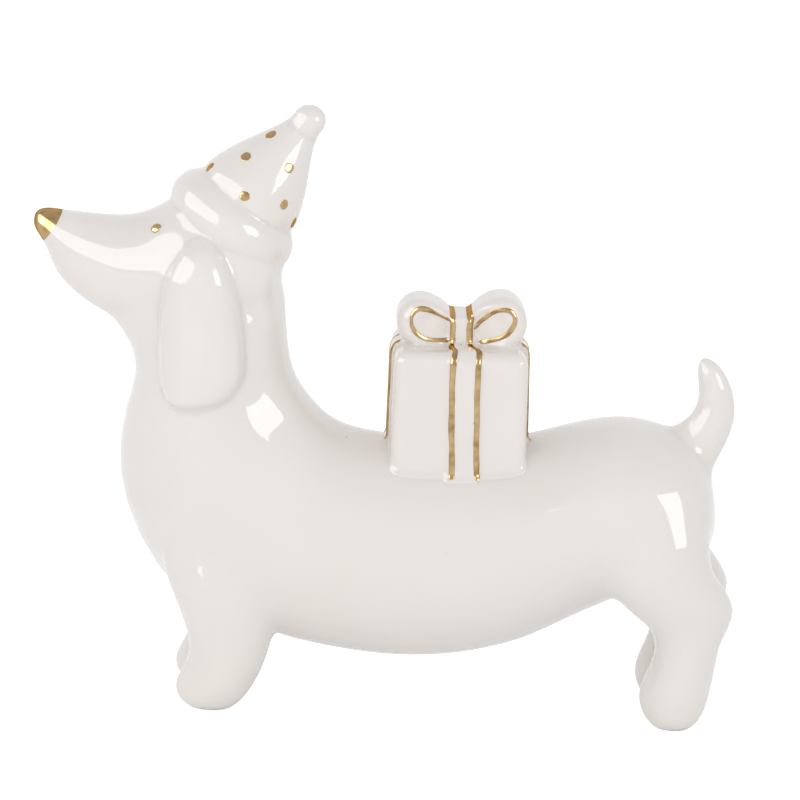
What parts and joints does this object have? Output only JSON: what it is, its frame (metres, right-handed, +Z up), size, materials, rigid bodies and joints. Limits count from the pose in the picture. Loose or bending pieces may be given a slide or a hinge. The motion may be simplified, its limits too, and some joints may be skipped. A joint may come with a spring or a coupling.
{
  "type": "porcelain dog figurine",
  "caption": "Standing long-bodied dog ornament in glazed porcelain with hanging ears, a tilted party hat, a ribboned gift box on its back and gilded trim.",
  "frame": {"origin": "on the ground under the middle of the overall box", "axes": "+X from the nose to the hocks, +Y to the dog's right, +Z up"},
  "size_m": [0.1914, 0.057, 0.1634],
  "materials": {
    "porcelain": "clear gloss glaze over warm white porcelain",
    "gold_lustre": "burnt-in mirror-bright gold lustre, brushed on by hand"
  },
  "bodies": {
    "root": {"body_shell": "porcelain", "nose_gilding": "gold_lustre", "ear_left": "porcelain", "ear_right": "porcelain", "tail": "porcelain", "eye_gilding_left": "gold_lustre", "eye_gilding_right": "gold_lustre", "hat_brim": "porcelain", "party_hat": "porcelain", "hat_pompom": "porcelain", "hat_dot_01": "gold_lustre", "hat_dot_02": "gold_lustre", "hat_dot_03": "gold_lustre", "hat_dot_04": "gold_lustre", "hat_dot_05": "gold_lustre", "hat_dot_06": "gold_lustre", "hat_dot_07": "gold_lustre", "hat_dot_08": "gold_lustre", "hat_dot_09": "gold_lustre", "hat_dot_10": "gold_lustre", "hat_dot_11": "gold_lustre", "hat_dot_12": "gold_lustre", "hat_dot_13": "gold_lustre", "hat_dot_14": "gold_lustre", "gift_box": "porcelain", "ribbon_left": "porcelain", "ribbon_gold_left_1": "gold_lustre", "ribbon_gold_left_2": "gold_lustre", "ribbon_right": "porcelain", "ribbon_gold_right_1": "gold_lustre", "ribbon_gold_right_2": "gold_lustre", "ribbon_head_side": "porcelain", "ribbon_gold_head_side_1": "gold_lustre", "ribbon_gold_head_side_2": "gold_lustre", "ribbon_tail_side": "porcelain", "ribbon_gold_tail_side_1": "gold_lustre", "ribbon_gold_tail_side_2": "gold_lustre", "bow_knot": "porcelain", "bow_loop_head_side": "porcelain", "knot_gold_head_side": "gold_lustre", "loop_gold_head_side_left": "gold_lustre", "loop_gold_head_side_right": "gold_lustre", "bow_loop_tail_side": "porcelain", "knot_gold_tail_side": "gold_lustre", "loop_gold_tail_side_left": "gold_lustre", "loop_gold_tail_side_right": "gold_lustre"}
  },
  "joints": []
}
